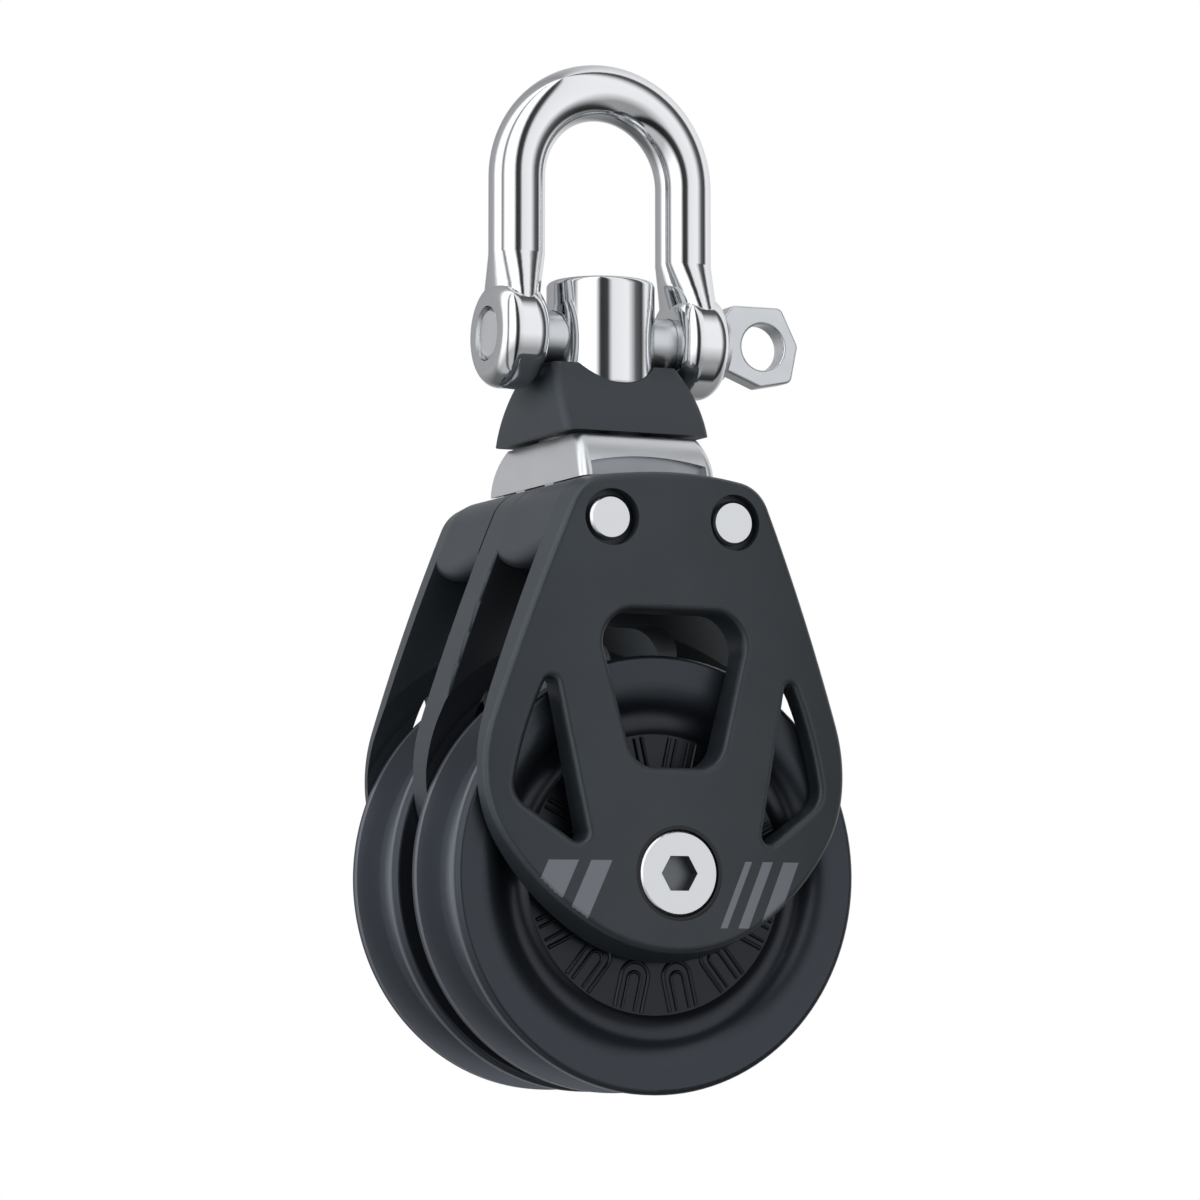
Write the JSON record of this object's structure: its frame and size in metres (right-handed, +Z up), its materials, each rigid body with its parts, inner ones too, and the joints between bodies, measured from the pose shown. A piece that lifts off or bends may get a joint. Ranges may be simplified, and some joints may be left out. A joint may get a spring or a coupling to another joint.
{
  "type": "double sailing block",
  "caption": "Sailing block with side-by-side grooved sheaves between windowed plates, a swivelling head and a D shackle with a keyed pin.",
  "frame": {"origin": "inner crown of the shackle bow, where the block hangs", "axes": "+Z up along the swivel axis, X along the shackle pin with the key head at +X, Y along the sheave axle"},
  "size_m": [0.0607, 0.0512, 0.1456],
  "materials": {
    "polished_steel": "mirror polished stainless",
    "satin_steel": "satin stainless",
    "machined_steel": "fine turned stainless",
    "black_plate": "black anodised, semi-matt",
    "black_sheave": "black anodised, satin",
    "boot_plastic": "moulded, fine matt",
    "bush_plastic": "moulded, matt",
    "bearing_plastic": "machined acetal, matt"
  },
  "bodies": {
    "shackle": {"shackle_bow": "polished_steel", "shackle_pin": "satin_steel"},
    "swivel_head": {"swivel_eye": "polished_steel", "swivel_boot": "boot_plastic", "swivel_nut": "machined_steel", "swivel_thrust_washer": "bearing_plastic", "swivel_washer": "machined_steel"},
    "block_body": {"head_plate": "satin_steel", "front_cheek": "black_plate", "middle_plate": "black_plate", "rear_cheek": "black_plate", "head_rivet_left": "machined_steel", "head_rivet_right": "machined_steel", "axle_tube": "machined_steel", "front_axle_screw": "machined_steel", "rear_axle_screw": "machined_steel", "front_screw_bush": "bush_plastic", "rear_screw_bush": "bush_plastic", "front_outer_washer": "bearing_plastic", "front_inner_washer": "bearing_plastic", "rear_inner_washer": "bearing_plastic", "rear_outer_washer": "bearing_plastic"},
    "front_sheave_body": {"front_sheave": "black_sheave", "front_sleeve_bearing": "bearing_plastic"},
    "rear_sheave_body": {"rear_sheave": "black_sheave", "rear_sleeve_bearing": "bearing_plastic"}
  },
  "joints": [
    {"name": "shackle_swing", "type": "hinge", "parent": "shackle", "child": "swivel_head", "pos_m": [0, 0, -0.03165], "axis": [1, 0, 0], "range_deg": [-80, 80]},
    {"name": "head_swivel", "type": "hinge", "parent": "swivel_head", "child": "block_body", "pos_m": [0, 0, -0.04615], "axis": [0, 0, 1], "continuous": true},
    {"name": "front_sheave_spin", "type": "hinge", "parent": "block_body", "child": "front_sheave_body", "pos_m": [0, -0.01095, -0.10765], "axis": [0, 1, 0], "continuous": true},
    {"name": "rear_sheave_spin", "type": "hinge", "parent": "block_body", "child": "rear_sheave_body", "pos_m": [0, 0.01095, -0.10765], "axis": [0, 1, 0], "continuous": true}
  ]
}
